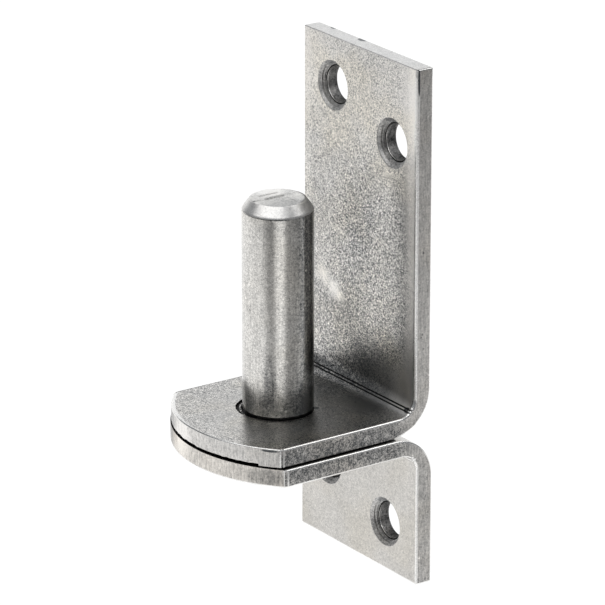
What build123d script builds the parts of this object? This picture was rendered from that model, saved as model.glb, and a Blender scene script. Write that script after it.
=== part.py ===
from build123d import *
import os

# Gate hinge pin on folded plates. All sizes are in millimetres.
# The pin's axis is Z, and Z = 0 is the top face of the upper flange, where the gate's strap comes to rest.
# The plates' backs face +Y, towards the post, and the flanges' noses point to -Y.

# Plate stock, and how it is folded and finished
thickness = 4.2
inner_bend = 4.0
outer_bend = 10.0
edge_break = 0.45
flange_gap = 0.4

# Legs against the post, measured from each flange's inner face to the end of the leg
upper_width = 43.0
upper_leg = 80.0
lower_width = 45.0
lower_leg = 31.7

# Flanges: the nose is measured forward from the pin's axis, and each corner back from the nose
pin_to_plate = 22.0
nose_reach = 22.5
upper_corner_setback = 8.7
lower_corner_setback = 9.2
corner_round = 0.8

# Countersunk screw holes: in each leg the outer one is near the end, and the inner one is a step further in
screw_hole = 8.2
screw_sink = 11.2
screw_sink_depth = 1.5
screw_end = 11.4
screw_step = 7.6
upper_outer_inset = 11.1
upper_inner_inset = 9.4
lower_outer_inset = 12.1
lower_inner_inset = 10.2

# Pin, with its foot in a shallow seat in the upper flange
pin_diameter = 16.0
pin_height = 49.5
top_chamfer = 1.8
top_chamfer_height = 2.5
top_edge_round = 0.5
foot_chamfer = 0.8
foot_chamfer_height = 1.1
seat_clearance = 0.9
seat_depth = 0.6

# Tenon through both flanges, riveted over in a countersink in the lower flange
tenon_shoulder = 2.0
tenon_clearance = 0.05
rivet_flare = 2.4
rivet_depth = 2.2
rivet_crown = 0.6

# Radii and faces that follow from the sizes above
pin_radius = pin_diameter / 2
tenon_radius = pin_radius - tenon_shoulder
plate_back = pin_to_plate + thickness
underside = -(2 * thickness + flange_gap)


def leg_and_flange(width, leg):
    """The folded strip before its nose is cut, with the flange's inner face on Z = 0 and the leg going up."""
    with BuildPart() as strip:
        with BuildSketch(Plane.YZ):
            with BuildLine():
                Polyline(
                    (-nose_reach, -thickness),
                    (plate_back, -thickness),
                    (plate_back, leg),
                    (pin_to_plate, leg),
                    (pin_to_plate, 0),
                    (-nose_reach, 0),
                    close=True,
                )
            make_face()
            outer = vertices().sort_by_distance((plate_back, -thickness))[0]
            fillet(outer, outer_bend)
            inner = vertices().sort_by_distance((pin_to_plate, 0))[0]
            fillet(inner, inner_bend)
        extrude(amount=width / 2, both=True)
    return strip.part


def plan_outline(width, leg, corner_setback):
    """The strip's outline from above: square at the back, with the nose as one arc between two small corners."""
    half = width / 2
    corner = corner_setback - nose_reach
    with BuildPart() as outline:
        with BuildSketch(Plane.XY.offset(-thickness)):
            with BuildLine():
                Line((-half, plate_back), (half, plate_back))
                Line((half, plate_back), (half, corner))
                ThreePointArc((half, corner), (0, -nose_reach), (-half, corner))
                Line((-half, corner), (-half, plate_back))
            make_face()
            fillet(vertices().group_by(Axis.Y)[0], corner_round)
        extrude(amount=thickness + leg)
    return outline.part


def screw_cutter(x, z):
    """One countersunk screw hole through the leg, cut from its front face."""
    rim = screw_sink / 2
    wall = screw_hole / 2
    profile = Polyline(
        (0, 0),
        (rim, 0),
        (wall, -screw_sink_depth),
        (wall, -2 * thickness),
        (0, -2 * thickness),
        close=True,
    )
    cutter = revolve(make_face(profile), axis=Axis.Y)
    return Pos(x, pin_to_plate, z) * Rot(0, 0, 180) * cutter


def folded_bracket(width, leg, corner_setback, outer_inset, inner_inset):
    """A bracket with rounded edges and its two staggered screw holes, but no hole for the pin yet."""
    half = width / 2
    blank = leg_and_flange(width, leg) & plan_outline(width, leg, corner_setback)
    blank = fillet(blank.edges(), min(edge_break, thickness / 4))
    blank -= screw_cutter(outer_inset - half, leg - screw_end)
    blank -= screw_cutter(half - inner_inset, leg - screw_end - screw_step)
    return blank


def tenon_hole():
    """The hole for the tenon, centred on the flange's inner face and longer than the flange is thick."""
    return Cylinder(tenon_radius + tenon_clearance, 4 * thickness)


def make_upper_bracket():
    """The long bracket, with a shallow seat round the tenon hole for the pin's foot."""
    bracket = folded_bracket(
        upper_width, upper_leg, upper_corner_setback, upper_outer_inset, upper_inner_inset
    )
    seat = Cylinder(pin_radius + seat_clearance, 2 * seat_depth)
    return bracket - tenon_hole() - seat


def make_lower_bracket():
    """The short bracket, turned over so that its leg goes down, with a countersink under its flange."""
    bracket = folded_bracket(
        lower_width, lower_leg, lower_corner_setback, lower_outer_inset, lower_inner_inset
    )
    throat = tenon_radius + tenon_clearance
    sink = Pos(0, 0, -rivet_depth / 2) * Cone(throat, throat + rivet_flare, rivet_depth)
    bracket = bracket - tenon_hole() - sink
    return Pos(0, 0, underside) * Rot(0, 180, 0) * bracket


def make_hinge_pin():
    """The turned pin, from its riveted end to its chamfered top, as half its section turned about Z."""
    crown = (0, underside - rivet_crown)
    rivet_edge = (tenon_radius + rivet_flare, underside)
    with BuildPart() as pin:
        with BuildSketch(Plane.XZ):
            with BuildLine():
                TangentArc(crown, rivet_edge, tangent=(1, 0))
                Polyline(
                    rivet_edge,
                    (tenon_radius, underside + rivet_depth),
                    (tenon_radius, -seat_depth),
                    (pin_radius - foot_chamfer, -seat_depth),
                    (pin_radius, foot_chamfer_height - seat_depth),
                    (pin_radius, pin_height - top_chamfer_height),
                    (pin_radius - top_chamfer, pin_height),
                    (0, pin_height),
                    crown,
                )
            make_face()
        revolve(axis=Axis.Z)
        rims = edges().filter_by(GeomType.CIRCLE).group_by(Axis.Z)
        fillet(rims[-1] + rims[-2], top_edge_round)
    return pin.part


pieces = {
    "upper_bracket": make_upper_bracket(),
    "lower_bracket": make_lower_bracket(),
    "hinge_pin": make_hinge_pin(),
}

os.makedirs("parts", exist_ok=True)
for name, piece in pieces.items():
    export_step(piece, f"parts/{name}.step")
    box = piece.bounding_box()
    print(name, round(piece.volume, 1), [round(v, 2) for v in (*box.min, *box.max)])
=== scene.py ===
import logging
import math
from contextlib import contextmanager
from dataclasses import dataclass, field, replace
from enum import Enum, IntEnum
from typing import Callable, Iterator

import bmesh
import bpy
from mathutils import Matrix, Vector


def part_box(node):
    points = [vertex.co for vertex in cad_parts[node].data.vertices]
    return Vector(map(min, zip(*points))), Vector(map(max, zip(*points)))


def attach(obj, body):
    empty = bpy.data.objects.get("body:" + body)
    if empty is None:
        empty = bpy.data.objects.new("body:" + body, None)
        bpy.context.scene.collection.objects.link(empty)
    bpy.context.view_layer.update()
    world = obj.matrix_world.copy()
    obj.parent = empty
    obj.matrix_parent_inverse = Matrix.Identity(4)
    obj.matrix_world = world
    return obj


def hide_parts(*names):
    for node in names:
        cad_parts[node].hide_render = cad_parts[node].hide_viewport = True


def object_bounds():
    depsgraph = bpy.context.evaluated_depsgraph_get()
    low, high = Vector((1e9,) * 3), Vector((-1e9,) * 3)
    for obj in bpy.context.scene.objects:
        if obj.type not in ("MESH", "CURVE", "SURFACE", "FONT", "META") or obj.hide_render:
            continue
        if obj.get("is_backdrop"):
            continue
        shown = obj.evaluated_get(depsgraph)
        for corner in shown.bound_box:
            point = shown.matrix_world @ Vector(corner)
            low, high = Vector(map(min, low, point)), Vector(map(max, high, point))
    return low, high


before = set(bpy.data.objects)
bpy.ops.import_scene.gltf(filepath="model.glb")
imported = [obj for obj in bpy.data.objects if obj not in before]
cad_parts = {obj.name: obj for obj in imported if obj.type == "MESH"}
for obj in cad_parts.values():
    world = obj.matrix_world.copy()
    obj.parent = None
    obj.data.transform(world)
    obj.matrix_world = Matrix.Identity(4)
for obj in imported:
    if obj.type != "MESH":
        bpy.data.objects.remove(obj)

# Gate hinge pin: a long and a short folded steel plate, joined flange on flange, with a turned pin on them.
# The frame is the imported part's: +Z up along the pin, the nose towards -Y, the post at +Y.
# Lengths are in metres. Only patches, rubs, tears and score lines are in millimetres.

LOG = logging.getLogger("gate_hinge_pin")
MM = 0.001
QUARTER_TURN = math.radians(90)
BODY = "root"
X_AXIS, Y_AXIS, Z_AXIS = (1, 0, 0), (0, 1, 0), (0, 0, 1)
Triple = tuple[float, float, float]
Rings = list[tuple[float, float]]


class Rise(Enum):
    """Which way a folded plate's leg goes from its flange."""

    UP = 1
    DOWN = -1


class Grain(Enum):
    """The way a surface was worked, as the scale of its fine marks along X, Y and Z."""

    TUMBLED = (1.0, 1.0, 1.0)
    SHEARED_UPRIGHT = (1.0, 1.0, 0.16)
    DRAWN_ALONG_Z = (1.0, 1.0, 0.05)


class Pick(Enum):
    """What can be picked in edit mode: the select mode, and the mesh's own name for it."""

    FACES = ("FACE", "faces")
    EDGES = ("EDGE", "edges")
    POINTS = ("VERT", "verts")


class Face(IntEnum):
    """The material slots of a folded plate. Other finishes of the cutters take the slots after these."""

    ROLLED = 0
    SHEARED = 1
    WORN = 2
    NOSE = 3
    # CREASE takes the near-black finish: painted shade in the crease grooves and on the covered outer face
    # between the flanges.
    CREASE = 4


class HoleFace(IntEnum):
    """The material slots of a screw hole's cutter."""

    SINK = 0
    MOUTH = 1
    # WALL and LEDGE take darker finishes: painted shade inside the hole.
    WALL = 2
    LEDGE = 3


class PinFace(IntEnum):
    """The material slots of the pin."""

    WALL = 0
    TOP = 1
    # SEAT takes the near-black finish: painted shade at the pin's foot, in the gap over the seat.
    SEAT = 2
    CHAMFER = 3


# Selecting and shaping in edit mode


def deselect_all() -> None:
    """Leaves object mode with nothing selected."""
    bpy.ops.object.select_all(action="DESELECT")


def take(obj: bpy.types.Object) -> None:
    """Selects one object and nothing else, and makes it active."""
    deselect_all()
    obj.select_set(True)
    bpy.context.view_layer.objects.active = obj


def begin(name: str, add: Callable[..., object], **settings: object) -> bpy.types.Object:
    """Adds a primitive, with its place and size in its mesh.

    Args:
        name: the new object's name.
        add: the operator that adds the primitive.
        settings: the operator's settings.

    Returns:
        The new object, which stands at the origin.
    """
    deselect_all()
    add(**settings)
    obj = bpy.context.object
    obj.name = obj.data.name = name
    bpy.ops.object.transform_apply(location=True, rotation=True, scale=True)
    return obj


@contextmanager
def shaping(obj: bpy.types.Object) -> Iterator[bpy.types.Object]:
    """Opens an object in edit mode with nothing selected, and closes it again.

    Args:
        obj: the object to shape.
    """
    take(obj)
    bpy.ops.object.mode_set(mode="EDIT")
    bpy.ops.mesh.select_mode(type="VERT")
    bpy.ops.mesh.select_all(action="DESELECT")
    yield obj
    bpy.ops.object.mode_set(mode="OBJECT")


def pick(obj: bpy.types.Object, kind: Pick, test: Callable[..., bool]) -> None:
    """Selects the faces, edges or points that pass a test, and nothing else, in edit mode.

    Args:
        obj: the object in edit mode.
        kind: what to pick.
        test: takes one face, edge or point and says whether it is wanted.
    """
    mode, parts_name = kind.value
    bpy.ops.mesh.select_mode(type=mode)
    mesh = bmesh.from_edit_mesh(obj.data)
    mesh.normal_update()
    parts = getattr(mesh, parts_name)
    for part in parts:
        part.select_set(False)
    for part in [part for part in parts if test(part)]:
        part.select_set(True)
    mesh.select_flush_mode()
    bmesh.update_edit_mesh(obj.data)


def ends(edge: bmesh.types.BMEdge) -> list[Vector]:
    """The places of an edge's two ends."""
    return [point.co for point in edge.verts]


def score(place: Triple, normal: Triple) -> None:
    """Cuts every face along a plane, in edit mode, with nothing taken away."""
    bpy.ops.mesh.select_all(action="SELECT")
    bpy.ops.mesh.bisect(plane_co=place, plane_no=normal)


def near(value: float, target: float, slack: float = 0.02 * MM) -> bool:
    """Says whether two lengths are the same within a slack."""
    return abs(value - target) < slack


def within(value: float, low: float, high: float) -> float:
    """Holds a value between two limits."""
    return min(high, max(low, value))


def apply_modifier(obj: bpy.types.Object, kind: str, **settings: object) -> None:
    """Adds a modifier, sets it and applies it.

    Args:
        obj: the object to modify.
        kind: Blender's name for the kind of modifier.
        settings: the modifier's own settings.
    """
    take(obj)
    modifier = obj.modifiers.new(kind.title(), kind)
    for name, value in settings.items():
        setattr(modifier, name, value)
    bpy.ops.object.modifier_apply(modifier=modifier.name)


def cut(obj: bpy.types.Object, cutter: bpy.types.Object, operation: str = "DIFFERENCE") -> None:
    """Cuts an object with another one, which is then deleted. The cut faces keep the cutter's material.

    Args:
        obj: the object that stays.
        cutter: the object that cuts, and goes.
        operation: DIFFERENCE or INTERSECT.
    """
    apply_modifier(
        obj, "BOOLEAN", object=cutter, operation=operation, solver="EXACT", material_mode="TRANSFER"
    )
    bpy.data.objects.remove(cutter, do_unlink=True)


def extruded(obj: bpy.types.Object, steps: list[tuple[Triple, Triple, Triple]]) -> bpy.types.Object:
    """Extrudes a flat face step by step to a closed shape.

    Args:
        obj: the object, which is one face.
        steps: for each step its move, its scale and the middle that it is scaled from.

    Returns:
        The same object.
    """
    with shaping(obj):
        bpy.ops.mesh.select_mode(type="FACE")
        bpy.ops.mesh.select_all(action="SELECT")
        for move, scale, middle in steps:
            bpy.ops.mesh.extrude_region_move(TRANSFORM_OT_translate={"value": move})
            bpy.ops.transform.resize(value=scale, center_override=middle)
        bpy.ops.mesh.select_all(action="SELECT")
        bpy.ops.mesh.normals_make_consistent(inside=False)
    return obj


def turned(name: str, rings: Rings, segments: int) -> bpy.types.Object:
    """Makes a closed turned shape about Z, one ring extruded from the last.

    Args:
        name: the new object's name.
        rings: (radius, height) of each ring, from the lowest up along the profile.
        segments: how many sides each ring has.

    Returns:
        The new object, with its axis on Z.
    """
    radius, height = rings[0]
    disc = begin(
        name, bpy.ops.mesh.primitive_circle_add,
        vertices=segments, radius=radius, fill_type="NGON", location=(0, 0, height),
    )
    steps = []
    for (before, low), (after, high) in zip(rings, rings[1:]):
        ratio = after / before
        steps.append(((0, 0, high - low), (ratio, ratio, 1), (0, 0, high)))
    return extruded(disc, steps)


def settle(obj: bpy.types.Object, place: Matrix) -> None:
    """Moves an object's mesh to a place, with the object itself left at the origin."""
    obj.matrix_world = place
    take(obj)
    bpy.ops.object.transform_apply(location=True, rotation=True, scale=True)


def shade(obj: bpy.types.Object, angle: float = math.radians(40)) -> None:
    """Shades an object smooth up to an angle, with flat faces kept flat by weighted normals."""
    take(obj)
    bpy.ops.object.shade_smooth_by_angle(angle=angle)
    apply_modifier(obj, "WEIGHTED_NORMAL", mode="FACE_AREA", weight=50, keep_sharp=True)


# Finishes


class NodeBench:
    """Lays out the nodes of one procedural material."""

    def __init__(self, name: str) -> None:
        """Starts an empty node tree with a material output."""
        self.material = bpy.data.materials.new(name)
        self.material.use_nodes = True
        self.tree = self.material.node_tree
        self.tree.nodes.clear()
        self.output = self.tree.nodes.new("ShaderNodeOutputMaterial")

    def node(self, kind: str, **settings: object) -> bpy.types.Node:
        """Adds a node. A setting named after an input socket sets or links it. Any other is the node's own.

        Args:
            kind: Blender's name for the node.
            settings: values and sockets for its inputs, with _ for a space, and its own settings.

        Returns:
            The new node.
        """
        made = self.tree.nodes.new(kind)
        own = {name: value for name, value in settings.items() if hasattr(made, name)}
        for name, value in own.items():
            setattr(made, name, value)
        for name, value in settings.items():
            if name not in own:
                self.feed(made.inputs[name.replace("_", " ")], value)
        return made

    def feed(self, socket: bpy.types.NodeSocket, value: object) -> None:
        """Links a socket to another one, or sets its value."""
        if isinstance(value, bpy.types.NodeSocket):
            self.tree.links.new(value, socket)
        else:
            socket.default_value = value

    def combine(self, kind: str, operation: str, first: object, second: object) -> bpy.types.Node:
        """Adds a Math or Vector Math node that works on two values or sockets."""
        made = self.tree.nodes.new(kind)
        made.operation = operation
        self.feed(made.inputs[0], first)
        self.feed(made.inputs[1], second)
        return made

    def math(self, operation: str, first: object, second: object = 0.0) -> bpy.types.NodeSocket:
        """Adds a Math node and returns its output."""
        return self.combine("ShaderNodeMath", operation, first, second).outputs[0]

    def vector(self, operation: str, first: object, second: object = (0, 0, 0)) -> bpy.types.NodeSocket:
        """Adds a Vector Math node and returns its output, a number for DOT_PRODUCT and LENGTH."""
        made = self.combine("ShaderNodeVectorMath", operation, first, second)
        return made.outputs["Value" if operation in ("DOT_PRODUCT", "LENGTH") else "Vector"]

    def plus(self, total: object, value: object, strength: object) -> bpy.types.NodeSocket:
        """Adds a value times its strength to a total."""
        return self.math("ADD", total, self.math("MULTIPLY", value, strength))

    def centred(self, value: bpy.types.NodeSocket) -> bpy.types.NodeSocket:
        """Centres a value of 0 to 1 on 0."""
        return self.math("SUBTRACT", value, 0.5)

    def ramp(self, value: object, low: float, high: float) -> bpy.types.NodeSocket:
        """Turns a value into 0 to 1 between two limits, smoothly."""
        made = self.node("ShaderNodeMapRange", interpolation_type="SMOOTHSTEP", Value=value)
        made.inputs["From Min"].default_value = low
        made.inputs["From Max"].default_value = high
        return made.outputs["Result"]

    def places(self, scale: Triple = (1, 1, 1)) -> bpy.types.NodeSocket:
        """Object coordinates, stretched along the axes where scale is under 1."""
        point = self.node("ShaderNodeTexCoord").outputs["Object"]
        if scale == (1, 1, 1):
            return point
        return self.node("ShaderNodeMapping", Vector=point, Scale=scale).outputs["Vector"]

    def spot(self, centre: Triple, reach: float, core: float,
             stretch: Triple = (1, 1, 1)) -> bpy.types.NodeSocket:
        """Adds a soft spot.

        Args:
            centre: its middle, in metres.
            reach: where it has faded out, from the middle, in metres.
            core: the share of the reach that is whole.
            stretch: scale along X, Y and Z, where under 1 draws the spot out and 0 makes it endless.

        Returns:
            1 in the core and 0 outside the spot.
        """
        off = self.vector("SUBTRACT", self.places(), centre)
        drawn = self.vector("MULTIPLY", off, stretch)
        return self.ramp(self.vector("LENGTH", drawn), reach, core * reach)

    def noise(self, size: float, detail: float = 2.0, roughness: float = 0.5,
              stretch: Triple = (1, 1, 1)) -> bpy.types.NodeSocket:
        """Adds noise whose blots are about one size.

        Args:
            size: the size of a blot, in metres.
            detail: how many finer layers it has.
            roughness: how strong those layers are.
            stretch: scale along X, Y and Z, where under 1 draws the blots out.

        Returns:
            A value around 0.5.
        """
        made = self.node("ShaderNodeTexNoise", Vector=self.places(stretch), Scale=1 / size)
        made.inputs["Detail"].default_value = detail
        made.inputs["Roughness"].default_value = roughness
        return made.outputs[0]

    def blend(self, amount: object, first: object, second: object) -> bpy.types.NodeSocket:
        """Mixes two colours by an amount."""
        made = self.tree.nodes.new("ShaderNodeMix")
        made.data_type = "RGBA"
        self.feed(made.inputs["Factor"], amount)
        self.feed(made.inputs["A"], first)
        self.feed(made.inputs["B"], second)
        return made.outputs["Result"]


@dataclass(frozen=True)
class Rub:
    """A bright rubbed streak on a face that looks along Y, as a line with a width, in millimetres.

    Args:
        centre: the middle of the streak.
        turn: its turn about Y, in degrees.
        length: its whole length.
        width: its whole width.
        depth: how far behind and before the face it has faded out.
        core_length: the share of the length, to each side of the middle, that has the full strength.
        core_depth: how far behind and before the face it has the full strength.
    """

    centre: Triple
    turn: float
    length: float
    width: float
    depth: float = 1.5
    core_length: float = 0.25
    core_depth: float = 0.5

    def mask(self, bench: NodeBench) -> bpy.types.NodeSocket:
        """Returns 1 on the streak and 0 away from it."""
        length, width = self.length * MM, self.width * MM
        lined = bench.tree.nodes.new("ShaderNodeVectorRotate")
        lined.rotation_type = "Y_AXIS"
        off = bench.vector("SUBTRACT", bench.places(), [v * MM for v in self.centre])
        bench.feed(lined.inputs["Vector"], off)
        bench.feed(lined.inputs["Angle"], math.radians(self.turn))
        split = bench.node("ShaderNodeSeparateXYZ", Vector=lined.outputs[0])
        across, through, along = (bench.math("ABSOLUTE", split.outputs[axis]) for axis in "ZYX")
        inside_along = bench.ramp(along, length * 0.5, length * self.core_length)
        inside_across = bench.ramp(across, width * 0.5, 0.0)
        on_face = bench.ramp(through, self.depth * MM, self.core_depth * MM)
        return bench.math("MULTIPLY", bench.math("MULTIPLY", inside_along, inside_across), on_face)


@dataclass(frozen=True)
class Patch:
    """A round or long patch with a soft border, in millimetres.

    Args:
        centre: its middle.
        reach: where it has faded out, from the middle.
        strength: how strong it is in the middle, where under 0 takes away.
        stretch: scale along X, Y and Z, where under 1 draws the patch out and 0 makes it endless.
        core: the share of the reach that has the full strength.
    """

    centre: Triple
    reach: float
    strength: float
    stretch: Triple = (1, 1, 1)
    core: float = 0.3

    def mask(self, bench: NodeBench) -> bpy.types.NodeSocket:
        """Returns 1 in the patch's core and 0 outside it."""
        return bench.spot([v * MM for v in self.centre], self.reach * MM, self.core, self.stretch)


@dataclass(frozen=True)
class SteelFinish:
    """Raw steel with a speckled grain, cloudy staining and scratches, and patches of painted shade and
    painted light.

    Args:
        name: the material's name.
        light: colour of the brightest specks.
        tint: colour of the brightest specks where the metal has yellowed.
        roughness: the lowest roughness.
        grain: the way it was worked.
        grain_size: size of one speck.
        grain_contrast: how much the specks change the colour.
        grain_depth: height of the specks.
        streak_contrast: how much the fine streaks of the working change the colour.
        cloud_contrast: how much the clouds change the colour.
        coarse: patches where the specks are stronger.
        stains_and_painted_light: patches that are darker or, where under 0, lighter; some are stains, and
            some are painted shade or painted light.
        rubs: bright streaks.
        anisotropy: how far the gloss is drawn out across the turning marks.
        middle: the brightness of the bare metal between the specks.
        blots: how strong the wider blots are beside the specks.
        pits: how strong the small scattered dings are.
    """

    name: str
    light: Triple = (0.80, 0.785, 0.765)
    tint: Triple = (0.80, 0.765, 0.70)
    roughness: float = 0.27
    grain: Grain = Grain.TUMBLED
    grain_size: float = 0.27 * MM
    grain_contrast: float = 0.5
    grain_depth: float = 0.006 * MM
    streak_contrast: float = 0.0
    cloud_contrast: float = 0.25
    coarse: tuple[Patch, ...] = ()
    stains_and_painted_light: tuple[Patch, ...] = ()
    rubs: tuple[Rub, ...] = ()
    anisotropy: float = 0.0
    middle: float = 0.62
    blots: float = 0.7
    pits: float = 0.9

    def material(self) -> bpy.types.Material:
        """Builds the material's nodes and returns it."""
        bench = NodeBench(self.name)
        specks = self.specks(bench)
        clouds = bench.noise(CLOUD_SIZE, 3.0, 0.55)
        blots = bench.noise(BLOT_SIZE, 3.0, 0.6)
        bright = self.brightness(bench, specks.outputs["Color"], clouds, blots)
        held = bench.node("ShaderNodeClamp", Value=bright)
        yellowed = bench.ramp(bench.noise(TINT_SIZE), 0.4, 0.7)
        clean = bench.blend(yellowed, (*self.light, 1), (*self.tint, 1))
        shaded = tuple(share * value for share, value in zip(SHADE, self.light))
        colour = bench.blend(held.outputs["Result"], (*shaded, 1), clean)
        rough = bench.plus(self.roughness, clouds, CLOUD_ROUGHNESS)
        bump = bench.node("ShaderNodeBump", Height=bench.math("ADD", specks.outputs["Distance"], blots))
        bump.inputs["Distance"].default_value = self.grain_depth
        bump.inputs["Strength"].default_value = 1.0
        shader = bench.node(
            "ShaderNodeBsdfPrincipled", Base_Color=colour, Roughness=rough, Normal=bump.outputs["Normal"]
        )
        shader.inputs["Metallic"].default_value = 1.0
        if self.anisotropy:
            shader.inputs["Anisotropic"].default_value = self.anisotropy
            shader.inputs["Anisotropic Rotation"].default_value = 0.25
            tangent = bench.node("ShaderNodeTangent", direction_type="RADIAL", axis="Z")
            bench.feed(shader.inputs["Tangent"], tangent.outputs["Tangent"])
        bench.feed(bench.output.inputs["Surface"], shader.outputs["BSDF"])
        return bench.material

    def specks(self, bench: NodeBench) -> bpy.types.Node:
        """Adds the cells of the grain, moved about by noise so that none has a straight side."""
        wobble = bench.node("ShaderNodeTexNoise", Vector=bench.places(), Scale=1 / self.grain_size)
        shift = bench.vector("SUBTRACT", wobble.outputs["Color"], (0.5, 0.5, 0.5))
        shift = bench.vector("MULTIPLY", shift, (SPECK_WOBBLE * self.grain_size,) * 3)
        place = bench.vector("ADD", bench.places(), shift)
        return bench.node("ShaderNodeTexVoronoi", Vector=place, Scale=1 / self.grain_size)

    def brightness(self, bench: NodeBench, specks: bpy.types.NodeSocket, clouds: bpy.types.NodeSocket,
                   blots: bpy.types.NodeSocket) -> bpy.types.NodeSocket:
        """Adds up all that makes the metal lighter or darker.

        Args:
            bench: the material's nodes.
            specks: a value of 0 to 1 for each speck.
            clouds: the widest noise.
            blots: the noise between the clouds and the specks.

        Returns:
            0 where the metal is darkest and 1 where it is brightest, and past them in places.
        """
        contrast = self.patched(bench, self.grain_contrast, self.coarse)
        rubbed = [rub.mask(bench) for rub in self.rubs]
        for mask in rubbed:
            kept = bench.math("SUBTRACT", 1.0, bench.math("MULTIPLY", mask, RUB_SMOOTHING))
            contrast = bench.math("MULTIPLY", contrast, kept)
        bright = bench.math("MULTIPLY", bench.centred(specks), contrast)
        bright = bench.plus(bright, bench.centred(blots), bench.math("MULTIPLY", contrast, self.blots))
        bright = bench.plus(bright, bench.centred(clouds), self.cloud_contrast)
        if self.streak_contrast:
            streaks = bench.noise(STREAK_SIZE, 2.0, 0.6, self.grain.value)
            bright = bench.plus(bright, bench.centred(streaks), self.streak_contrast)
        bright = bench.math("ADD", bright, self.middle)
        bright = bench.plus(bright, self.dings(bench), self.pits)
        # Patches darken or lighten the metal: stains, painted shade and painted light.
        if self.stains_and_painted_light:
            bright = bench.math("SUBTRACT", bright, self.patched(bench, 0.0, self.stains_and_painted_light))
        for mask in rubbed:
            bright = bench.plus(bright, mask, RUB_SHINE)
        return bright

    def dings(self, bench: NodeBench) -> bpy.types.NodeSocket:
        """Returns small scattered spots, some over 0 and some under it."""
        cells = bench.node("ShaderNodeTexVoronoi", Vector=bench.places(), Scale=1 / DING_SPACING)
        spot = bench.ramp(cells.outputs["Distance"], DING_EDGE, DING_CORE)
        tone = bench.math("MULTIPLY", bench.centred(cells.outputs["Color"]), 2.0)
        return bench.math("MULTIPLY", spot, tone)

    @staticmethod
    def patched(bench: NodeBench, base: float, patches: tuple[Patch, ...]) -> object:
        """Adds soft patches to a base value.

        Args:
            bench: the material's nodes.
            base: the value away from the patches.
            patches: what to add.

        Returns:
            A socket, or the base value where there are no patches.
        """
        total: object = base
        for patch in patches:
            total = bench.plus(total, patch.mask(bench), patch.strength)
        return total


# Sizes and strengths that all finishes share. A ding's edge and core are shares of the spacing.

SHADE = (0.112, 0.12, 0.13)
CLOUD_SIZE = 11 * MM
CLOUD_ROUGHNESS = 0.08
BLOT_SIZE = 1.3 * MM
TINT_SIZE = 14 * MM
STREAK_SIZE = 0.35 * MM
SPECK_WOBBLE = 3.0
DING_SPACING = 2.6 * MM
DING_EDGE = 0.13
DING_CORE = 0.06
RUB_SMOOTHING = 0.5
RUB_SHINE = 0.42

# Ways to draw a patch out, and the Y of the upper leg's front face in millimetres

ROUND = (1, 1, 1)
ALONG_X = (0, 1, 1)
ALONG_Z = (1, 1, 0)
TALL = (1, 1, 0.6)
WIDE = (0.6, 1, 1)
LEG = 22

ROLLED = SteelFinish(
    "rolled_steel", light=(0.955, 0.93, 0.893), tint=(0.955, 0.91, 0.825), grain_contrast=1.9,
    grain_size=0.18 * MM, middle=0.53, blots=0.26, cloud_contrast=0.4,
    coarse=(
        Patch((2.5, LEG, 28), 19, 3.6, TALL),
        Patch((-11.5, LEG, 7), 12, 3.0),
        Patch((-14, LEG, 36), 10, -0.5, TALL),
        Patch((10, LEG, 3), 13, -1.6),
        Patch((19.5, LEG, 30), 5, -1.2, ALONG_Z),
        Patch((3, 0, 0), 23, -0.9, ROUND, 0.6),
        Patch((3.5, LEG, 9.5), 7, -1.3, WIDE),
    ),
    stains_and_painted_light=(
        Patch((2.5, LEG, 30), 19, 0.2, TALL),
        # Painted shade low on the leg and on the flange next to the fold.
        Patch((-6, LEG, 4), 26, 0.2),
        Patch((15, LEG, 42), 5, 0.16, (1, 1, 0.2)),
        # Painted light along the leg's two side borders.
        Patch((21.5, LEG, 40), 4.5, -0.3, ALONG_Z),
        Patch((-21.5, LEG, 40), 4, -0.2, ALONG_Z),
        # Painted light: the leg is lighter towards its top.
        Patch((0, LEG, 88), 48, -0.2, ROUND, 0.4),
        Patch((-20, LEG, 72), 15, -0.24),
        # Painted shade low on the leg, where the pin and the flange shade it.
        Patch((-5, LEG, 12), 12, 0.34, (1, 1, 0.7)),
        Patch((1.5, LEG, 39), 8, 0.34, (1, 1, 0.5)),
        Patch((-3, LEG, 28), 6, 0.2, (1, 1, 0.3)),
        Patch((19, LEG, 4), 8.5, -0.4, TALL),
        Patch((3.5, LEG, 9.5), 6.5, 0.15, WIDE),
        # Painted shade along the inner bend.
        Patch((0, 21.4, 0.4), 9, 0.16, ALONG_X),
        Patch((-14, -8, 0), 20, 0.05),
        # Painted shade of a nick at the right end of the crease.
        Patch((20.3, 20.8, 1.2), 0.9, 1.0, WIDE, 0.6),
        Patch((4.9, 6.9, 0), 0.8, 0.9, ROUND, 0.6),
    ),
    rubs=(Rub((-11.0, LEG, 21.6), -27, 14, 6.2), Rub((-7.8, LEG, 19.7), -27, 9.2, 10.5)),
)
ROLLED_FINE = SteelFinish(
    "rolled_fine_steel", light=(0.82, 0.795, 0.755), grain_contrast=0.5, grain_size=0.24 * MM,
    middle=0.68, blots=0.5,
)
CUT = SteelFinish(
    "sheared_steel", light=(0.89, 0.865, 0.83), tint=(0.91, 0.86, 0.79), roughness=0.30, middle=0.6,
    grain=Grain.SHEARED_UPRIGHT, grain_size=0.22 * MM, grain_depth=0.008 * MM, streak_contrast=0.8,
    coarse=(Patch((0, -4, -4), 25, 0.6, ALONG_X, 0.8),),
    stains_and_painted_light=(
        # Painted shade on the side faces along the joint between the two flanges.
        Patch((0, -4, -4.2), 4.4, 0.16, (0, 0, 1), 0.4),
        Patch((0, -4, -4), 25, 0.26, ALONG_X, 0.8),
        Patch((0, 24, -28), 24, 0.16, ALONG_X, 0.6),
    ),
)
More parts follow.
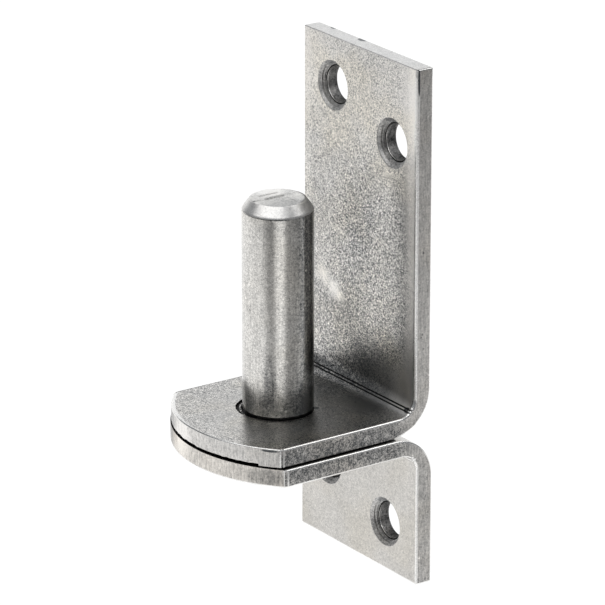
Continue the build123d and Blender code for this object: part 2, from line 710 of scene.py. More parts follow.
NOSE_CUT = SteelFinish(
    "sheared_nose_steel", light=(0.97, 0.925, 0.86), tint=(0.99, 0.905, 0.80), roughness=0.32, middle=0.68,
    grain=Grain.SHEARED_UPRIGHT, grain_size=0.3 * MM, grain_contrast=0.4, grain_depth=0.012 * MM,
    streak_contrast=0.85, cloud_contrast=0.35,
    stains_and_painted_light=(
        Patch((-5.5, -21.8, -3), 5, -0.35, TALL),
        Patch((-17, -17.5, -4), 9, 0.34, TALL, 0.5),
        Patch((19.6, -15.7, -0.5), 2.3, 0.9, (1, 1, 7), 0.6),
        Patch((19, -16.2, -6.7), 6.5, 0.32, (1, 1, 2.4), 0.4),
    ),
)
GREY_NOSE_CUT = replace(
    NOSE_CUT, name="sheared_grey_nose_steel", light=(0.95, 0.928, 0.895), tint=(0.95, 0.915, 0.865)
)
WORN = SteelFinish(
    "worn_edge_steel", light=(0.97, 0.96, 0.94), tint=(0.95, 0.93, 0.90), roughness=0.23, middle=0.88,
    grain_contrast=0.3, grain_depth=0.003 * MM, pits=0.4,
    stains_and_painted_light=(
        Patch((0, 24, 80), 3, 0.24, ALONG_X, 0.8),
        # Painted shade of small nicks: two in the top end, and one down the right front edge near the top.
        Patch((-15.5, 25.8, 80), 0.7, 0.9, WIDE, 0.5),
        Patch((-4.2, 25.7, 80), 1.1, 1.1, (0.7, 1, 1), 0.6),
        Patch((21.5, 22.4, 77), 3.4, 1.0, (10, 10, 1), 0.8),
    ),
)
SUNK = SteelFinish(
    "countersunk_steel", light=(0.86, 0.85, 0.835), tint=(0.85, 0.83, 0.80), roughness=0.48, middle=0.6,
    grain_contrast=0.9, grain_depth=0.01 * MM,
    stains_and_painted_light=(
        # Painted shade on the upper side of each countersink.
        Patch((12.1, 22.6, 66.3), 4.6, 0.45),
        Patch((-10.4, 22.6, 73.9), 4.6, 0.45),
        Patch((10.4, 22.6, -23.8), 4.6, 0.45),
    ),
)
# Darker steel for the walls of the bores: painted shade inside the holes.
SHADED_BORE = SteelFinish(
    "bore_steel_with_painted_shade", light=(0.55, 0.54, 0.53), tint=(0.53, 0.51, 0.49), roughness=0.36, middle=0.4,
    grain_contrast=0.8, grain_depth=0.01 * MM,
)
# Near-black steel: painted shade in the crease, the gaps between parts, the seat round the pin and the step
# in each hole, with some grime.
GRIME_AND_SHADE = SteelFinish(
    "grime_and_painted_shade_steel", light=(0.11, 0.108, 0.105), tint=(0.11, 0.106, 0.10), roughness=0.56, middle=0.14,
    grain_contrast=1.0, grain_depth=0.012 * MM, blots=1.6,
)
DRAWN = SteelFinish(
    "drawn_steel", light=(0.95, 0.93, 0.89), tint=(0.95, 0.915, 0.85), roughness=0.16, middle=0.66,
    grain=Grain.DRAWN_ALONG_Z, grain_contrast=0.65, grain_depth=0.002 * MM, streak_contrast=0.5,
    anisotropy=0.4, blots=0.6, pits=2.0,
    stains_and_painted_light=(
        # Painted shade down the pin's back right side, away from the light.
        Patch((7.2, 3.6, 22), 6, 0.5, ALONG_Z),
        # Painted shade: the pin darkens towards its foot on the flange.
        Patch((0, 0, 0), 11, 0.34, (0, 0, 1), 0.15),
        Patch((5.3, -6.0, 9), 2.2, 0.3, (1, 1, 0.25)),
        Patch((7.8, -1.9, 10), 2.2, 0.14, (1, 1, 0.25)),
        Patch((6.6, -4.6, 46.85), 3.2, 0.7, (1, 1, 10), 0.5),
    ),
)
CHAMFERED = SteelFinish(
    "turned_chamfer_steel", light=(0.97, 0.96, 0.94), tint=(0.96, 0.94, 0.91), roughness=0.36, middle=0.78,
    grain_contrast=0.35, grain_depth=0.004 * MM, cloud_contrast=0.3,
)
TOP_CUT = SteelFinish(
    "sheared_top_steel", light=(0.97, 0.96, 0.94), tint=(0.97, 0.95, 0.91), roughness=0.26, middle=0.66,
    grain_depth=0.008 * MM, cloud_contrast=0.3,
    stains_and_painted_light=(
        Patch((4.5, -1.5, 49.3), 5.6, 0.24),
        Patch((-5, 1, 49.5), 5, -0.4),
        Patch((2, 6.5, 49.5), 4, -0.3),
    ),
)
FINISHES = (
    ROLLED, ROLLED_FINE, CUT, NOSE_CUT, GREY_NOSE_CUT, WORN, SUNK, SHADED_BORE, GRIME_AND_SHADE, DRAWN, CHAMFERED, TOP_CUT
)


def dress(obj: bpy.types.Object, *finishes: SteelFinish) -> None:
    """Gives an object the materials of these finishes, in this order."""
    obj.data.materials.clear()
    for finish in finishes:
        obj.data.materials.append(bpy.data.materials[finish.name])


# The two folded plates


@dataclass(frozen=True)
class TornEdge:
    """The torn lower edge of the upper nose, up to a step near its right corner.

    Args:
        left: its left end.
        step: the X of the step.
        front: in front of the nose.
        back: behind the torn edge.
        bottom: the flange's underside.
        height: how high the edge is torn.
        unevenness: how far each point of it is moved at random.
        step_end: how much of it stays straight beside the step.
        pieces: how many pieces it is torn in.
    """

    left: float = -24 * MM
    step: float = 17.4 * MM
    front: float = -24 * MM
    back: float = -13.5 * MM
    bottom: float = -4.2 * MM
    height: float = 0.44 * MM
    unevenness: float = 0.12 * MM
    step_end: float = 0.5 * MM
    pieces: int = 46

    def cutter(self) -> bpy.types.Object:
        """Makes the shape that cuts the tear, in place."""
        width = self.step - self.left
        tool = begin(
            "undercut_cutter", bpy.ops.mesh.primitive_cube_add, size=1,
            location=((self.left + self.step) / 2, (self.front + self.back) / 2, self.bottom),
            scale=(width, self.back - self.front, 2 * self.height),
        )
        # The torn faces take the near-black finish: painted shade in the gap under the nose.
        dress(tool, GRIME_AND_SHADE)
        with shaping(tool):
            for number in range(1, self.pieces):
                score((self.left + width * number / self.pieces, 0, 0), X_AXIS)
            pick(tool, Pick.POINTS, lambda p: p.co.z > self.bottom and p.co.x < self.step - self.step_end)
            bpy.ops.transform.vertex_random(offset=self.unevenness, uniform=1.0, normal=0.0, seed=5)
        return tool


@dataclass(frozen=True)
class ScrewHole:
    """A countersunk screw hole through a leg, with the marks of the tools that cut it.

    Args:
        x: its place across the leg.
        z: its height.
    """

    x: float
    z: float
    bore_radius: float = 4.1 * MM
    rim_radius: float = 5.6 * MM
    sink_depth: float = 1.5 * MM
    lip: float = 0.16 * MM
    lip_depth: float = 0.12 * MM
    ledge: float = 0.45 * MM
    mouth: float = 0.12 * MM
    mouth_depth: float = 0.24 * MM
    tool_mark: float = 0.22 * MM
    proud: float = 0.6 * MM
    sink_cuts: int = 3
    bore_cuts: int = 4
    segments: int = 96

    def rings(self, thickness: float) -> Rings:
        """The profile of the cutter, as (radius, depth) from in front of the leg to behind it."""
        rim = self.rim_radius + self.lip
        rings = [(rim, -self.proud), (rim, -0.01 * MM), (self.rim_radius, self.lip_depth)]
        ledge_radius = self.bore_radius + self.ledge
        for cut_number in range(1, self.sink_cuts):
            share = cut_number / self.sink_cuts
            radius = self.rim_radius + share * (ledge_radius - self.rim_radius)
            depth = self.lip_depth + share * (self.sink_depth - self.lip_depth)
            rings.append((radius - self.tool_mark, depth))
            rings.append((radius + 0.2 * self.tool_mark, depth + self.tool_mark))
        rings.append((ledge_radius, self.sink_depth))
        rings.append((self.bore_radius + self.mouth, self.sink_depth))
        mouth_end = self.sink_depth + self.mouth_depth
        rings.append((self.bore_radius, mouth_end))
        pitch = (thickness - mouth_end) / self.bore_cuts
        for cut_number in range(self.bore_cuts):
            depth = mouth_end + cut_number * pitch
            rings.append((self.bore_radius, depth + 0.5 * pitch))
            rings.append((self.bore_radius + self.tool_mark, depth + 0.75 * pitch))
        rings.append((self.bore_radius, thickness + self.proud))
        return rings

    def kind_at(self, depth: float) -> HoleFace:
        """Says which finish the hole has at a depth."""
        mouth_end = self.sink_depth + self.mouth_depth
        if near(depth, self.sink_depth):
            return HoleFace.LEDGE
        if depth > mouth_end:
            return HoleFace.WALL
        return HoleFace.MOUTH if self.sink_depth < depth < mouth_end else HoleFace.SINK

    def cutter(self, plate_front: float, thickness: float) -> bpy.types.Object:
        """Makes the shape that cuts this hole.

        Args:
            plate_front: the Y of the leg's front face.
            thickness: the leg's thickness.

        Returns:
            The cutter, in place and dressed.
        """
        tool = turned("screw_cutter", self.rings(thickness), self.segments)
        # The wall and the ledge take darker finishes: painted shade inside the hole.
        dress(tool, SUNK, WORN, SHADED_BORE, GRIME_AND_SHADE)
        for face in tool.data.polygons:
            face.material_index = self.kind_at(face.center.z)
        upright = Matrix.Rotation(-QUARTER_TURN, 4, "X")
        settle(tool, Matrix.Translation((self.x, plate_front, self.z)) @ upright)
        return tool


@dataclass
class FoldedPlate:
    """A folded steel plate: a flange with a curved nose, and a leg with two screw holes.

    Args:
        node: the CAD node that it stands for, whose box gives its width, reach and length.
        rise: which way the leg goes.
        corner_setback: how far each corner lies behind the nose.
        holes: the screw holes.
        tools: other cutters, already in place.
        face: the finish of the rolled faces.
        nose_cut: the finish of the nose's cut face.
    """

    node: str
    rise: Rise
    corner_setback: float
    holes: tuple[ScrewHole, ...]
    tools: list[bpy.types.Object] = field(default_factory=list)
    face: SteelFinish = ROLLED
    nose_cut: SteelFinish = NOSE_CUT

    # Stock, fold and nose
    thickness: float = 4.2 * MM
    inner_bend: float = 4.0 * MM
    inner_segments: int = 36
    outer_bend: float = 10.0 * MM
    outer_segments: int = 24
    facet: float = 0.55 * MM
    nose_segments: int = 240
    die_height: float = 400 * MM
    covered_half: float = 21.6 * MM

    # Marks of the folding tool and of wear
    crease_depth: float = 0.2 * MM
    burnish_width: float = 0.85 * MM
    burnish_depth: float = 0.4 * MM

    # Roundings of the edges
    edge_round: float = 0.42 * MM
    facet_round: float = 0.2 * MM
    nose_side_round: float = 0.15 * MM
    nose_top_round: float = 0.3 * MM
    nose_wear: float = 0.8 * MM
    leg_end_round: float = 0.02 * MM
    flange_right_round: float = 0.46 * MM
    bend_thinning: float = 0.22 * MM
    widest_round: float = 2 * MM
    round_segments: int = 4
    shortest_edge: float = 0.0005 * MM
    sharp_turn: float = math.radians(35)
    facet_turn: float = math.radians(8)

    # Slacks in telling edges and faces apart
    slack: float = 0.5 * MM
    corner_slack: float = 0.2 * MM
    facet_slack: float = 0.4 * MM

    def __post_init__(self) -> None:
        """Reads the plate's place from the frame."""
        low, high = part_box(self.node)
        self.half = high.x
        self.nose = low.y
        self.back = high.y
        self.front = high.y - self.thickness
        self.corner = self.nose + self.corner_setback
        up = self.rise is Rise.UP
        self.way = self.rise.value
        self.leg_end = high.z if up else low.z
        self.outer_face = low.z if up else high.z
        self.inner_face = self.outer_face + self.thickness * self.way
        self.step = QUARTER_TURN / self.inner_segments

    def build(self) -> bpy.types.Object:
        """Makes the plate from strip to drilled bracket and returns it."""
        plate = self.strip()
        self.fold(plate)
        self.cut_nose(plate)
        self.part_outer_face(plate)
        self.assign_finishes(plate)
        for tool in [hole.cutter(self.front, self.thickness) for hole in self.holes] + self.tools:
            cut(plate, tool)
        self.round_edges(plate)
        shade(plate)
        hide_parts(self.node)
        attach(plate, BODY)
        return plate

    def strip(self) -> bpy.types.Object:
        """Makes the flange as a slab, and raises the leg from the strip behind the plate's front."""
        plate = begin(
            f"{self.node}_plate", bpy.ops.mesh.primitive_cube_add, size=1,
            location=(0, (self.nose + self.back) / 2, (self.outer_face + self.inner_face) / 2),
            scale=(2 * self.half, self.back - self.nose, self.thickness),
        )
        with shaping(plate):
            score((0, self.front, 0), Y_AXIS)
            pick(plate, Pick.FACES, lambda face: face.normal.z * self.way > 0.9
                 and face.calc_center_median().y > self.front)
            leg = (0, 0, self.leg_end - self.inner_face)
            bpy.ops.mesh.extrude_region_move(TRANSFORM_OT_translate={"value": leg})
            bpy.ops.mesh.select_all(action="SELECT")
            bpy.ops.mesh.dissolve_limited(angle_limit=math.radians(1))
        return plate

    def pick_line(self, plate: bpy.types.Object, y: float, z: float) -> None:
        """Selects the edges that run across the plate at one place."""
        pick(plate, Pick.EDGES, lambda edge: all(near(p.y, y) and near(p.z, z) for p in ends(edge)))

    def fold(self, plate: bpy.types.Object) -> None:
        """Rounds the inside and the outside of the fold."""
        corners = (
            (self.front, self.inner_face, self.inner_bend, self.inner_segments),
            (self.back, self.outer_face, self.outer_bend, self.outer_segments),
        )
        with shaping(plate):
            for y, z, radius, segments in corners:
                self.pick_line(plate, y, z)
                bpy.ops.mesh.bevel(
                    offset_type="OFFSET", offset=radius, segments=segments, profile=0.5, affect="EDGES"
                )
            self.press_crease(plate)
            for y, z, radius, _ in corners:
                score((0, y - radius, 0), Y_AXIS)
                score((0, 0, z + radius * self.way), Z_AXIS)
            if self.rise is Rise.UP:
                self.burnish_edge(plate)

    def bend_place(self, turn: float, outward: float = 0.0) -> Vector:
        """A place on the inner bend.

        Args:
            turn: the angle round the bend from the leg, in radians.
            outward: how far the place lies in the metal.

        Returns:
            The place, with an X of 0.
        """
        reach = self.inner_bend + outward
        return Vector((0, self.front - self.inner_bend + reach * math.cos(turn),
                       self.inner_face + (self.inner_bend - reach * math.sin(turn)) * self.way))

    def turn_at(self, place: Vector) -> float:
        """The angle round the bend at a place, which is 0 on the leg."""
        centre = self.bend_place(0, -self.inner_bend)
        return max(0.0, math.atan2((centre.z - place.z) * self.way, place.y - centre.y))

    def press_crease(self, plate: bpy.types.Object) -> None:
        """Presses the two grooves that the folding tool leaves along the middle of the inner bend."""
        for turn in (QUARTER_TURN / 2 - 2 * self.step, QUARTER_TURN / 2 + 2 * self.step):
            place = self.bend_place(turn)
            self.pick_line(plate, place.y, place.z)
            bpy.ops.transform.translate(value=self.bend_place(turn, self.crease_depth) - place)

    def burnish_edge(self, plate: bpy.types.Object) -> None:
        """Flattens the leg's right front edge, as rubbing wears it, and lets that fade out round the bend."""
        bend_start = self.front - self.inner_bend
        pick(plate, Pick.FACES, lambda face: face.normal.y < -0.1
             and face.calc_center_median().y > bend_start)
        bpy.ops.mesh.bisect(plane_co=(self.half - self.burnish_width, 0, 0), plane_no=X_AXIS)

        def on_edge(p: Vector, turn: float) -> bool:
            """Says whether a place lies on the right front edge, at this turn of the bend."""
            in_front = bend_start <= p.y <= self.front + self.slack
            return near(p.x, self.half) and in_front and abs(self.turn_at(p) - turn) < 0.4 * self.step

        for number in range(self.inner_segments):
            turn = number * self.step
            depth = self.burnish_depth * math.cos(turn) ** 2
            pick(plate, Pick.POINTS, lambda point: on_edge(point.co, turn))
            bpy.ops.transform.translate(value=self.bend_place(turn, depth) - self.bend_place(turn))

    def cut_nose(self, plate: bpy.types.Object) -> None:
        """Cuts the nose to one arc, and takes a small facet off each corner."""
        radius = (self.half ** 2 + self.corner_setback ** 2) / (2 * self.corner_setback)
        die = begin(
            "nose_die", bpy.ops.mesh.primitive_cylinder_add, vertices=self.nose_segments, radius=radius,
            depth=self.die_height, location=(0, self.nose + radius, 0),
        )
        cut(plate, die, "INTERSECT")

        def at_corner(a: Vector, b: Vector) -> bool:
            """Says whether an edge with these ends is a corner of the nose."""
            upright = abs(a.z - b.z) > self.thickness / 2
            return upright and all(
                near(abs(p.x), self.half) and near(p.y, self.corner, self.facet_slack) for p in (a, b)
            )

        with shaping(plate):
            pick(plate, Pick.EDGES, lambda edge: at_corner(*ends(edge)))
            bpy.ops.mesh.bevel(offset_type="OFFSET", offset=self.facet, segments=1, affect="EDGES")

    def part_outer_face(self, plate: bpy.types.Object) -> None:
        """Parts the covered middle of the outer face from the strips that show beside the other flange."""
        if self.covered_half >= self.half:
            return
        with shaping(plate):
            for place in (-self.covered_half, self.covered_half):
                pick(plate, Pick.FACES, lambda face: near(face.calc_center_median().z, self.outer_face)
                     and abs(face.normal.z) > 0.99)
                bpy.ops.mesh.bisect(plane_co=(place, 0, 0), plane_no=X_AXIS)

    def assign_finishes(self, plate: bpy.types.Object) -> None:
        """Gives the rolled faces, the cut edges and, later, the worn edges their finishes."""
        dress(plate, self.face, CUT, WORN, self.nose_cut, GRIME_AND_SHADE)
        for face in plate.data.polygons:
            face.material_index = self.kind_of(face.center, face.normal)

    def kind_of(self, centre: Vector, normal: Vector) -> Face:
        """Says which finish a face of the folded strip has.

        Args:
            centre: the face's middle.
            normal: the way that it faces.

        Returns:
            Its material slot.
        """
        upright = abs(normal.z) < 0.5
        sideways = abs(normal.x)
        burnished = normal.x > 0.15 and normal.y < -0.7
        covered = near(centre.z, self.outer_face) and abs(centre.x) < self.covered_half
        if upright and centre.y < self.corner + MM:
            return Face.SHEARED if sideways > 0.85 else Face.NOSE
        if sideways > 0.6:
            return Face.SHEARED
        if near(centre.z, self.leg_end):
            return Face.WORN
        # Painted shade between the flanges, on the covered middle of the outer face.
        if covered:
            return Face.CREASE
        if burnished:
            return Face.WORN
        away = (Vector((0, centre.y, centre.z)) - self.bend_place(QUARTER_TURN / 2)).length
        segment = self.inner_bend * self.step
        in_groove = segment <= away <= 3 * segment
        # Painted shade in the grooves of the crease.
        if self.rise is Rise.UP and in_groove and sideways <= 0.1:
            return Face.CREASE
        return Face.ROLLED

    def rounding_at(self, place: Vector) -> float:
        """How far an edge is rounded. The nose is worn at the top left, and the flange on the right."""
        if self.rise is Rise.DOWN:
            return self.edge_round
        if place.y < self.corner - self.corner_slack:
            leftness = within(-place.x / self.half, 0.0, 1.0)
            on_top = near(place.z, self.inner_face)
            return self.nose_top_round + self.nose_wear * leftness if on_top else self.nose_side_round
        inside_fold = place.z > self.inner_face - self.slack and place.y < self.front + self.slack
        if inside_fold and near(place.z, self.leg_end, self.slack):
            return self.leg_end_round
        if inside_fold and place.x > 0:
            up_bend = within((place.z - self.inner_face) / self.inner_bend, 0.0, 1.0)
            return self.flange_right_round - up_bend * self.bend_thinning
        return self.edge_round

    def rounding_of(self, edge: bmesh.types.BMEdge) -> float:
        """How far an edge is rounded, which is 0 where it stays as it is."""
        if len(edge.link_faces) != 2 or any(face.material_index >= Face.CREASE for face in edge.link_faces):
            return 0.0
        a, b = ends(edge)
        under_nose = self.corner + self.corner_slack
        if all(near(p.z, self.outer_face) and p.y < under_nose for p in (a, b)):
            return 0.0
        turn = edge.calc_face_angle(0.0)
        upright = abs(a.z - b.z) > self.thickness / 2
        if upright and a.y < self.front - MM and turn > self.facet_turn:
            return self.facet_round
        return self.rounding_at((a + b) / 2) if turn > self.sharp_turn else 0.0

    def round_edges(self, plate: bpy.types.Object) -> None:
        """Rounds every edge that is sharp, with the finish of worn edges on the rounding."""
        weights = plate.data.attributes.new("bevel_weight_edge", "FLOAT", "EDGE")
        work = bmesh.new()
        work.from_mesh(plate.data)
        work.normal_update()
        for edge in work.edges:
            weights.data[edge.index].value = self.rounding_of(edge) / self.widest_round
        work.free()
        apply_modifier(
            plate, "BEVEL", width=self.widest_round, segments=self.round_segments, limit_method="WEIGHT",
            offset_type="OFFSET", material=Face.WORN, use_clamp_overlap=False,
        )
        with shaping(plate):
            bpy.ops.mesh.select_all(action="SELECT")
            bpy.ops.mesh.dissolve_degenerate(threshold=self.shortest_edge)


@dataclass
class PinSeat:
    """The seat round the pin's foot in the upper flange, with a torn lip, and the holes for its tenon.

    Args:
        centre: middle of the round seat.
        radius: its radius.
        pocket_centre: middle of the torn pocket beside the pin.
        pocket_radius: its radius.
    """

    centre: tuple[float, float] = (0.15 * MM, 0.0)
    radius: float = 7.95 * MM
    depth: float = 0.6 * MM
    pocket_centre: tuple[float, float] = (-1.6 * MM, -1.0 * MM)
    pocket_radius: float = 7.8 * MM
    pocket_share: float = 0.85
    pocket_tear: float = 0.16 * MM
    tenon_radius: float = 6.05 * MM
    rivet_radius: float = 8.45 * MM
    rivet_depth: float = 2.2 * MM
    upper_throat: float = -6 * MM
    lower_throat: float = -4 * MM
    flare_overrun: float = 0.5 * MM
    flare_step: float = 0.01 * MM
    segments: int = 128

    # The lip runs on a circle round the pin, between two azimuths in degrees
    lip_circle: float = 8.5 * MM
    lip_start: float = -58.0
    lip_end: float = -4.0
    lip_radius: float = 0.3 * MM
    lip_height: float = -0.06 * MM
    lip_tear: float = 0.1 * MM
    lip_steps: int = 24
    lip_segments: int = 14
    lip_thinnest: float = 0.02

    def upper_tools(self) -> list[bpy.types.Object]:
        """Makes the cutters for the upper flange: the seat, the torn pocket and the tenon's hole."""
        pocket = self.dish("pocket_cutter", self.pocket_radius, self.pocket_share * self.depth)
        with shaping(pocket):
            bpy.ops.mesh.select_all(action="SELECT")
            bpy.ops.transform.vertex_random(offset=self.pocket_tear, uniform=1.0, normal=0.0, seed=2)
        seat = self.dish("seat_cutter", self.radius, self.depth)
        for tool, centre in ((seat, self.centre), (pocket, self.pocket_centre)):
            settle(tool, Matrix.Translation((*centre, 0)))
        tenon = self.bored("tenon_cutter", [(self.tenon_radius, self.upper_throat), (self.tenon_radius, MM)])
        return [seat, pocket, tenon]

    def lower_tools(self) -> list[bpy.types.Object]:
        """Makes the cutter for the lower flange: the tenon's hole, with the flare for its riveted end."""
        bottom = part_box("lower_bracket")[1].z - FoldedPlate.thickness
        flare = [
            (self.rivet_radius + self.flare_overrun, bottom - self.flare_overrun),
            (self.rivet_radius, bottom),
            (self.tenon_radius + self.flare_step, bottom + self.rivet_depth),
            (self.tenon_radius, self.lower_throat),
        ]
        return [self.bored("rivet_cutter", flare)]

    def dish(self, name: str, radius: float, depth: float) -> bpy.types.Object:
        """Makes the cutter for a shallow round pocket, with its middle on Z."""
        # Its faces take the near-black finish: painted shade in the seat round the pin's foot.
        return self.bored(name, [(radius, -depth), (radius, MM)], GRIME_AND_SHADE)

    def bored(self, name: str, rings: Rings, finish: SteelFinish = SHADED_BORE) -> bpy.types.Object:
        """Makes a turned cutter with a finish for the faces that it cuts."""
        tool = turned(name, rings, self.segments)
        dress(tool, finish)
        return tool

    def burr(self) -> bpy.types.Object:
        """Makes the torn lip of metal that stands up in the pocket beside the pin's foot."""
        heading = Matrix.Rotation(math.radians(self.lip_start), 4, "Z")
        turn = Matrix.Rotation(math.radians((self.lip_end - self.lip_start) / self.lip_steps), 3, "Z")
        middle = heading.to_3x3() @ Vector((0, -self.lip_circle, 0)) + Vector((0, 0, self.lip_height))
        along = [2 * step / self.lip_steps - 1 for step in range(self.lip_steps + 1)]
        thick = [math.sqrt(max(self.lip_thinnest, 1 - share ** 2)) for share in along]
        lip = begin(
            "foot_burr", bpy.ops.mesh.primitive_circle_add, vertices=self.lip_segments,
            radius=self.lip_radius * thick[0], fill_type="NGON", location=middle,
            rotation=(heading @ Matrix.Rotation(QUARTER_TURN, 4, "Y")).to_euler(),
        )
        steps = []
        for before, after in zip(thick, thick[1:]):
            ahead = turn @ middle
            steps.append((ahead - middle, (after / before,) * 3, ahead))
            middle = ahead
        extruded(lip, steps)
        dress(lip, CUT)
        with shaping(lip):
            bpy.ops.mesh.select_all(action="SELECT")
            bpy.ops.transform.vertex_random(offset=self.lip_tear, uniform=1.0, normal=0.0, seed=4)
        shade(lip)
        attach(lip, BODY)
        return lip


@dataclass(frozen=True)
class Tear:
    """A part of the pin's top that the cutting tore down, with its limits in millimetres.

    Args:
        left: its lowest X.
        right: its highest X.
        front: its lowest Y.
        back: its highest Y.
        share: how far it is torn down, as a share of the whole step.
    """

    left: float
    right: float
    front: float
    back: float
    share: float

    def holds(self, place: Vector) -> bool:
        """Says whether a place lies within the tear."""
        in_width = self.left * MM < place.x < self.right * MM
        return in_width and self.front * MM < place.y < self.back * MM


@dataclass
class HingePin:
    """The turned pin, from its riveted end to its chamfered top. The score lines are in millimetres."""

    node: str = "hinge_pin"
    radius: float = 8.0 * MM
    segments: int = 192
    tenon_radius: float = 6.0 * MM
    foot_chamfer: float = 0.8 * MM
    seat_depth: float = 0.6 * MM
    foot_top: float = 0.7 * MM

    # The riveted end
    rivet_crown: float = 0.6 * MM
    rivet_depth: float = 2.2 * MM
    crown_flat: float = 1.5 * MM
    crown_shoulder: float = 5.0 * MM
    shoulder_rise: float = 0.2 * MM
    rivet_rounding: float = 0.1 * MM

    # The top, and what the bar's cutting tore off it
    top_chamfer: float = 1.8 * MM
    top_chamfer_height: float = 2.5 * MM
    top_edge_weight: float = 0.4
    edge_slack: float = 0.1 * MM
    score_slack: float = 0.12 * MM
    tear_step: float = 0.24 * MM
    scores_across: tuple[float, ...] = (-0.45, -0.75, -1.7, -2.75, -3.05)
    scores_along: tuple[float, ...] = (-3.4, -3.0, 1.7, 2.1)
    tears: tuple[Tear, ...] = (
        Tear(-0.5, 9, -3.2, 1.9, 1.0),
        Tear(-0.5, 9, -9, -3.2, 0.5),
        Tear(-2.9, -1.9, -3.2, 1.9, 0.7),
        Tear(-0.5, 9, 1.9, 9, 0.4),
    )

    def build(self) -> bpy.types.Object:
        """Makes the pin and returns it."""
        low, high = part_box(self.node)
        top = high.z
        rivet = low.z + self.rivet_crown
        rivet_radius = max(high.x, self.radius)
        rings = [
            (self.crown_flat, low.z),
            (self.crown_shoulder, low.z + self.shoulder_rise),
            (rivet_radius - self.rivet_rounding, rivet - self.rivet_rounding / 2),
            (rivet_radius, rivet),
            (self.tenon_radius, rivet + self.rivet_depth),
            (self.tenon_radius, -self.seat_depth),
            (self.radius - self.foot_chamfer, -self.seat_depth),
            (self.radius, self.foot_top),
            (self.radius, top - self.top_chamfer_height),
            (self.radius - self.top_chamfer, top),
        ]
        pin = turned("pin", rings, self.segments)
        dress(pin, DRAWN, TOP_CUT, GRIME_AND_SHADE, CHAMFERED)
        for face in pin.data.polygons:
            face.material_index = self.kind_of(face.center, top)
        weights = pin.data.attributes.new("bevel_weight_edge", "FLOAT", "EDGE")
        lowest = top - self.top_chamfer_height - self.edge_slack
        for edge in pin.data.edges:
            a, b = (pin.data.vertices[i].co for i in edge.vertices)
            if near(a.z, b.z) and a.z > lowest:
                weights.data[edge.index].value = self.top_edge_weight
        apply_modifier(pin, "BEVEL", width=MM, segments=3, limit_method="WEIGHT", offset_type="OFFSET")
        self.tear_top(pin, top)
        shade(pin)
        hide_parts(self.node)
        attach(pin, BODY)
        return pin

    def kind_of(self, centre: Vector, top: float) -> PinFace:
        """Says which finish a face has, from its middle and the Z of the pin's top."""
        if near(centre.z, top):
            return PinFace.TOP
        # Painted shade: the foot's chamfer in the seat is near black.
        if centre.xy.length > self.tenon_radius and abs(centre.z) < self.seat_depth:
            return PinFace.SEAT
        return PinFace.CHAMFER if top - self.top_chamfer_height < centre.z < top else PinFace.WALL

    def tear_top(self, pin: bpy.types.Object, top: float) -> None:
        """Leaves the step and the ridge that the bar's cutting tore across its top face.

        Args:
            pin: the pin.
            top: the Z of its top face.
        """
        scores = [(place, X_AXIS) for place in self.scores_across]
        scores += [(place, Y_AXIS) for place in self.scores_along]
        with shaping(pin):
            for place, normal in scores:
                pick(pin, Pick.FACES, lambda face: face.normal.z > 0.99
                     and near(face.calc_center_median().z, top))
                bpy.ops.mesh.bisect(plane_co=Vector(normal) * (place * MM), plane_no=normal)
            for tear in self.tears:
                pick(pin, Pick.POINTS, lambda point: point.co.z > top - self.score_slack
                     and tear.holds(point.co))
                bpy.ops.transform.translate(value=(0, 0, -tear.share * self.tear_step))


# Floor, lights and camera


@dataclass(frozen=True)
class Fall:
    """How the floor's brightness falls off towards one side.

    Args:
        side: the side that it falls towards, in degrees.
        start: how far out it starts.
        end: how far out it ends.
        left: the share of the brightness that is left there.
    """

    side: float
    start: float
    end: float
    left: float


@dataclass(frozen=True)
class Panel:
    """A soft light panel that faces the part.

    Args:
        name: the light's name.
        side: the side that it stands on, in degrees round from the camera.
        elevation: its height above the horizon, in degrees.
        distance: how far it is from the part.
        width: its width.
        height: its height.
        radiance: how bright its face is.
    """

    name: str
    side: float
    elevation: float
    distance: float
    width: float
    height: float
    radiance: float


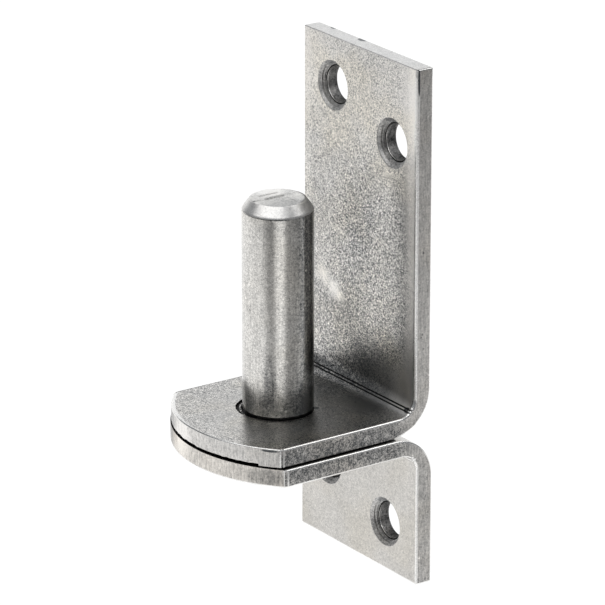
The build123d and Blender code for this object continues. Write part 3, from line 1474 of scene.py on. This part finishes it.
@dataclass
class Studio:
    """A pale floor, soft light and the camera of the photograph.

    The floor is bright under and behind the part and falls off towards the camera's side, as on a table
    that is lit from behind, with a bright card lying in front. Sides are given in degrees as the camera's
    azimuth is.
    """

    floor_z: float = -120 * MM
    floor_size: float = 8.0
    floor_glow: float = 1.06
    falls: tuple[Fall, ...] = (Fall(75, 120 * MM, 300 * MM, 0.29), Fall(-5, 480 * MM, 640 * MM, 0.15))
    card_side: float = 63.0
    card_distance: float = 440 * MM
    card_reach: float = 200 * MM
    card_core: float = 0.3
    card_glow: float = 1.0
    room_glow: float = 0.18
    room_tint: Triple = (0.96, 1.0, 1.05)
    panels: tuple[Panel, ...] = (
        Panel("back_panel", -180, 18, 1.5, 3.0, 1.15, 0.84),
        Panel("overhead_panel", -35, 60, 1.0, 1.6, 0.9, 1.4),
        Panel("edge_panel", 94, 48, 1.0, 0.5, 0.5, 2.0),
    )
    camera_place: Triple = (0.762332, -0.522260, 0.357792)
    camera_azimuth: float = 55.2494
    camera_elevation: float = 19.8099
    lens: float = 264.56
    sensor: float = 36
    clip: tuple[float, float] = (0.05, 50)

    def build(self) -> None:
        """Sets up the camera, the floor, the surroundings and the lights."""
        self.camera()
        self.floor()
        self.surroundings()
        for panel in self.panels:
            self.hang(panel)

    @staticmethod
    def towards(azimuth: float, elevation: float) -> Vector:
        """The direction from the part to a place at this azimuth and elevation, in degrees."""
        a, e = math.radians(azimuth), math.radians(elevation)
        return Vector((math.sin(a) * math.cos(e), -math.cos(a) * math.cos(e), math.sin(e)))

    def camera(self) -> None:
        """Places the camera."""
        data = bpy.data.cameras.new("camera")
        data.lens = self.lens
        data.sensor_width = self.sensor
        data.clip_start, data.clip_end = self.clip
        camera = bpy.data.objects.new("camera", data)
        camera.location = self.camera_place
        camera.rotation_euler = (
            math.radians(90 - self.camera_elevation), 0, math.radians(self.camera_azimuth)
        )
        bpy.context.scene.collection.objects.link(camera)
        bpy.context.scene.camera = camera
        bpy.context.scene.view_settings.view_transform = "Standard"

    def floor(self) -> None:
        """Lays a pale floor some way under the part."""
        floor = begin(
            "floor", bpy.ops.mesh.primitive_plane_add, size=self.floor_size, location=(0, 0, self.floor_z)
        )
        bench = NodeBench("pale_floor")
        bright: object = self.floor_glow
        for fall in self.falls:
            out = bench.vector("DOT_PRODUCT", bench.places(), self.towards(fall.side, 0))
            lost = bench.math("MULTIPLY", bench.ramp(out, fall.start, fall.end), 1 - fall.left)
            bright = bench.math("MULTIPLY", bright, bench.math("SUBTRACT", 1.0, lost))
        card = self.towards(self.card_side, 0) * self.card_distance
        card.z = self.floor_z
        bright = bench.plus(bright, bench.spot(card, self.card_reach, self.card_core), self.card_glow)
        glow = bench.node("ShaderNodeEmission", Color=(1, 1, 1, 1), Strength=bright)
        bench.feed(bench.output.inputs["Surface"], glow.outputs[0])
        floor.data.materials.append(bench.material)
        floor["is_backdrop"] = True

    def surroundings(self) -> None:
        """Fills the room with a dim, even light."""
        world = bpy.data.worlds.new("room")
        world.use_nodes = True
        shade_of_room = [self.room_glow * part for part in self.room_tint]
        world.node_tree.nodes["Background"].inputs["Color"].default_value = (*shade_of_room, 1)
        bpy.context.scene.world = world

    def hang(self, panel: Panel) -> None:
        """Hangs a light panel in its place."""
        data = bpy.data.lights.new(panel.name, "AREA")
        data.shape = "RECTANGLE"
        data.size, data.size_y = panel.width, panel.height
        data.energy = panel.radiance * math.pi * panel.width * panel.height
        light = bpy.data.objects.new(panel.name, data)
        back = self.towards(self.camera_azimuth + panel.side, panel.elevation)
        light.location = back * panel.distance
        light.rotation_euler = back.to_track_quat("Z", "Y").to_euler()
        light.visible_camera = False
        bpy.context.scene.collection.objects.link(light)


def corners() -> list[list[float]]:
    """The lowest and highest corner of what shows, as plain lists."""
    return [[float(v) for v in corner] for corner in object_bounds()]


def report(piece: bpy.types.Object) -> None:
    """Logs a finished piece."""
    LOG.info("%s: %d faces", piece.name, len(piece.data.polygons))


def main() -> None:
    """Builds the scene piece by piece."""
    logging.basicConfig(level=logging.INFO, format="%(name)s: %(message)s")
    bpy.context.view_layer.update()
    Studio().build()
    for finish in FINISHES:
        finish.material()
    seat = PinSeat()
    upper = FoldedPlate(
        "upper_bracket", Rise.UP, corner_setback=8.7 * MM,
        holes=(ScrewHole(-10.4 * MM, 68.6 * MM), ScrewHole(12.1 * MM, 61.0 * MM)),
        tools=[*seat.upper_tools(), TornEdge().cutter()], nose_cut=GREY_NOSE_CUT,
    )
    report(upper.build())
    lower = FoldedPlate(
        "lower_bracket", Rise.DOWN, corner_setback=9.2 * MM,
        holes=(ScrewHole(10.4 * MM, -29.1 * MM), ScrewHole(-12.3 * MM, -21.5 * MM)),
        tools=seat.lower_tools(), face=ROLLED_FINE,
    )
    report(lower.build())
    report(seat.burr())
    report(HingePin().build())


if __name__ == "__main__":
    main()
